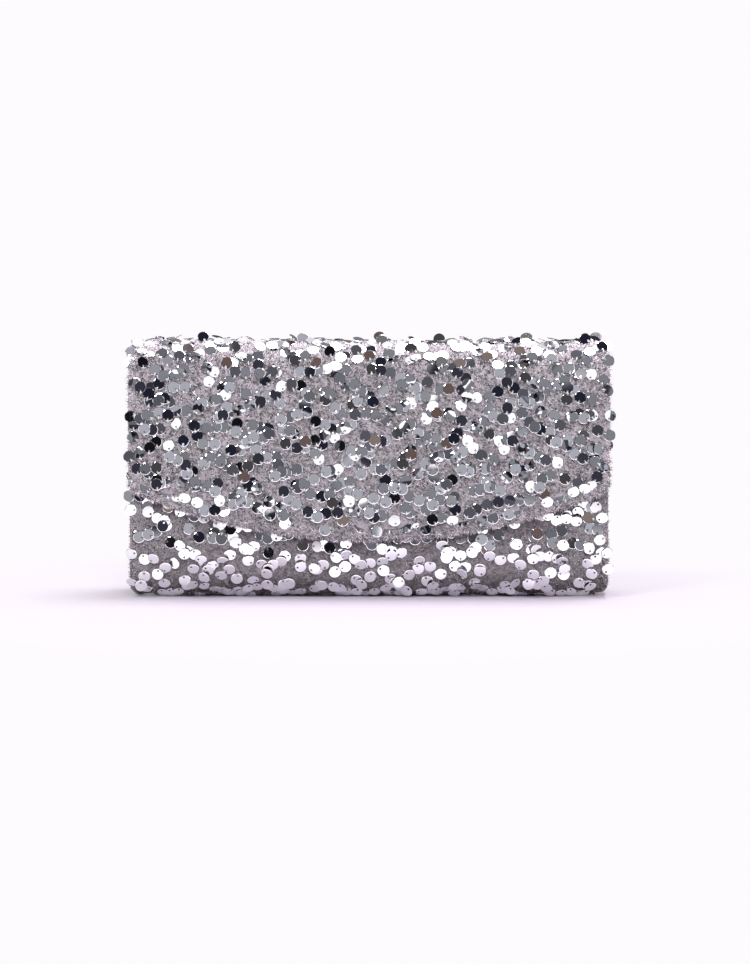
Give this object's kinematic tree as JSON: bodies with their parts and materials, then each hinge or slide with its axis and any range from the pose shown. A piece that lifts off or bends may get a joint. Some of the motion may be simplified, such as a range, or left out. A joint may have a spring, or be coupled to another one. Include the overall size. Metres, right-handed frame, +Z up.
{
  "type": "clutch purse",
  "caption": "Padded box clutch purse in sequinned velvet, with a round-edged flap that folds over the top and closes on a hidden magnetic snap.",
  "frame": {"origin": "middle of the closed bag's footprint, on the surface that it stands on", "axes": "+Z up, +X along the bag's width, +Y from the front, where the flap closes, to the back"},
  "size_m": [0.24, 0.052, 0.128],
  "materials": {
    "velvet": "matte",
    "sequin": "polished",
    "satin_lining": "satin",
    "foam": "matte",
    "greyboard": "matte",
    "nickel_plate": "polished",
    "magnet": "matte"
  },
  "bodies": {
    "bag": {"back_panel": "velvet", "back_foam": "foam", "back_board": "greyboard", "back_lining": "satin_lining", "base_panel": "velvet", "base_foam": "foam", "base_board": "greyboard", "base_lining": "satin_lining", "gusset_left": "velvet", "gusset_right": "velvet", "gusset_lining_left": "satin_lining", "gusset_lining_right": "satin_lining", "slip_pocket": "satin_lining", "pocket_seams": "satin_lining", "pocket_hem": "satin_lining"},
    "front_wall": {"front_panel": "velvet", "front_foam": "foam", "front_board": "greyboard", "front_lining": "satin_lining", "snap_socket_cap": "nickel_plate", "snap_socket_magnet": "magnet", "snap_socket_legs": "nickel_plate", "snap_socket_washer": "nickel_plate"},
    "flap_top": {"flap_top_cover": "velvet", "flap_top_foam": "foam", "flap_top_lining": "satin_lining"},
    "flap_front": {"flap_cover": "velvet", "flap_foam": "foam", "flap_board": "greyboard", "flap_lining": "satin_lining", "snap_stud": "nickel_plate", "snap_stud_washer": "nickel_plate"}
  },
  "joints": [
    {"name": "flap_hinge", "type": "hinge", "parent": "bag", "child": "flap_top", "pos_m": [0, 0.01432, 0.12312], "axis": [-1, 0, 0], "range_deg": [0, 170]},
    {"name": "flap_fold", "type": "hinge", "parent": "flap_top", "child": "flap_front", "pos_m": [0, -0.01615, 0.12306], "axis": [-1, 0, 0], "range_deg": [0, 85]},
    {"name": "front_wall_fold", "type": "hinge", "parent": "bag", "child": "front_wall", "pos_m": [0, -0.01477, 0.01451], "axis": [1, 0, 0], "range_deg": [-12, 0], "deforming": ["gusset_left", "gusset_right", "gusset_lining_left", "gusset_lining_right"]}
  ]
}
